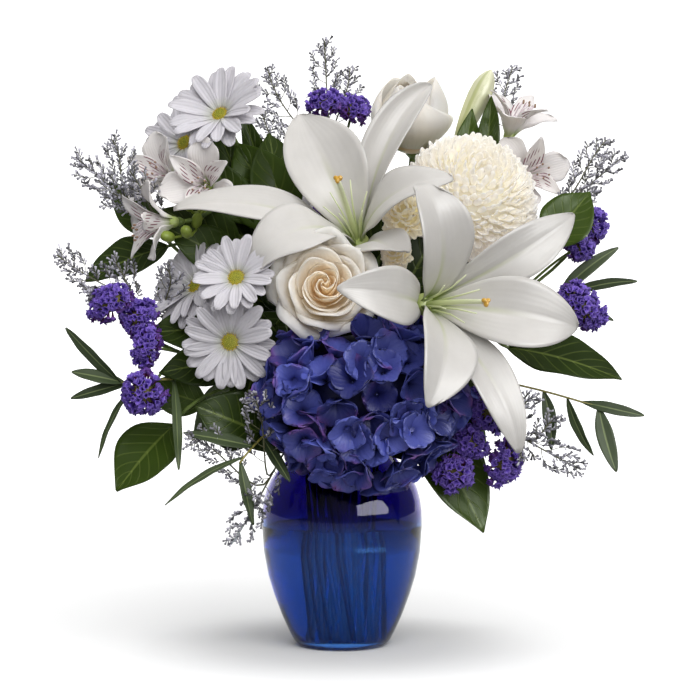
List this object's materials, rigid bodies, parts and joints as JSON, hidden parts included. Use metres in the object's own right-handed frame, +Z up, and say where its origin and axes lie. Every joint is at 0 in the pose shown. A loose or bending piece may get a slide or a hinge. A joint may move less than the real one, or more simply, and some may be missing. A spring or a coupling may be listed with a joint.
{
  "type": "vase of flowers",
  "caption": "Round-bellied blue glass vase with a narrow neck, filled with water and a mixed bouquet of cut lilies, roses, hydrangea, daisies and leafy filler stems.",
  "frame": {"origin": "centre of the vase's flat base, on the surface that it stands on", "axes": "+Z up the vase's axis, -Y towards the front of the bouquet, +X its right as seen from the front"},
  "size_m": [0.4327, 0.3392, 0.4689],
  "materials": {
    "cobalt_glass": "clear cobalt-blue glass, polished",
    "water": "clear water, blue through the glass",
    "green_stem": "living green stem and calyx",
    "dark_leaf": "dark green leaf, slightly glossy",
    "grey_leaf": "grey-green narrow leaf, matte",
    "white_lily": "satin white petal with a green throat",
    "white_daisy": "white petals round a green and ochre disc",
    "white_alstroemeria": "white petal with maroon streaks",
    "cream_rose": "cream petal, peach towards the heart",
    "cream_mum": "creamy white petals, yellowish in the depths",
    "blue_hydrangea": "royal blue petals with violet edges",
    "purple_statice": "papery purple cups",
    "grey_limonium": "dry grey-lavender spikelets"
  },
  "bodies": {
    "root": {"vase": "cobalt_glass", "water": "water", "lily_left": "white_lily", "lily_right": "white_lily", "lily_bud": "white_lily", "lily_stem": "green_stem", "rose_front": "cream_rose", "rose_back": "cream_rose", "rose_front_stem": "green_stem", "rose_back_stem": "green_stem", "hydrangea_head": "blue_hydrangea", "hydrangea_stem": "green_stem", "mum_bloom": "cream_mum", "mum_stem": "green_stem", "cream_bloom_upper": "cream_mum", "cream_bloom_lower": "cream_mum", "cream_bloom_stem": "green_stem", "daisy_top": "white_daisy", "daisy_top_left": "white_daisy", "daisy_middle": "white_daisy", "daisy_low": "white_daisy", "daisy_side": "white_daisy", "daisy_back_left": "white_daisy", "daisy_back_right": "white_daisy", "daisy_stem_top": "green_stem", "daisy_stem_front": "green_stem", "daisy_stem_back": "green_stem", "alstroemeria_left_front": "white_alstroemeria", "alstroemeria_left_back": "white_alstroemeria", "alstroemeria_left_low": "white_alstroemeria", "alstroemeria_right_top": "white_alstroemeria", "alstroemeria_right": "white_alstroemeria", "alstroemeria_stem_left": "green_stem", "alstroemeria_stem_right": "green_stem", "statice_top": "purple_statice", "statice_left": "purple_statice", "statice_right": "purple_statice", "statice_low_right": "purple_statice", "statice_back": "purple_statice", "limonium_top": "grey_limonium", "limonium_left_top": "grey_limonium", "limonium_left": "grey_limonium", "limonium_low_left": "grey_limonium", "limonium_right_top": "grey_limonium", "limonium_low_right": "grey_limonium", "salal_left_top": "dark_leaf", "salal_low_left": "dark_leaf", "salal_right": "dark_leaf", "salal_low_right": "dark_leaf", "salal_back_left": "dark_leaf", "salal_back_right": "dark_leaf", "eucalyptus_left": "grey_leaf", "eucalyptus_low_left": "grey_leaf", "eucalyptus_right": "grey_leaf", "eucalyptus_far_right": "grey_leaf", "eucalyptus_back": "grey_leaf"}
  },
  "joints": []
}
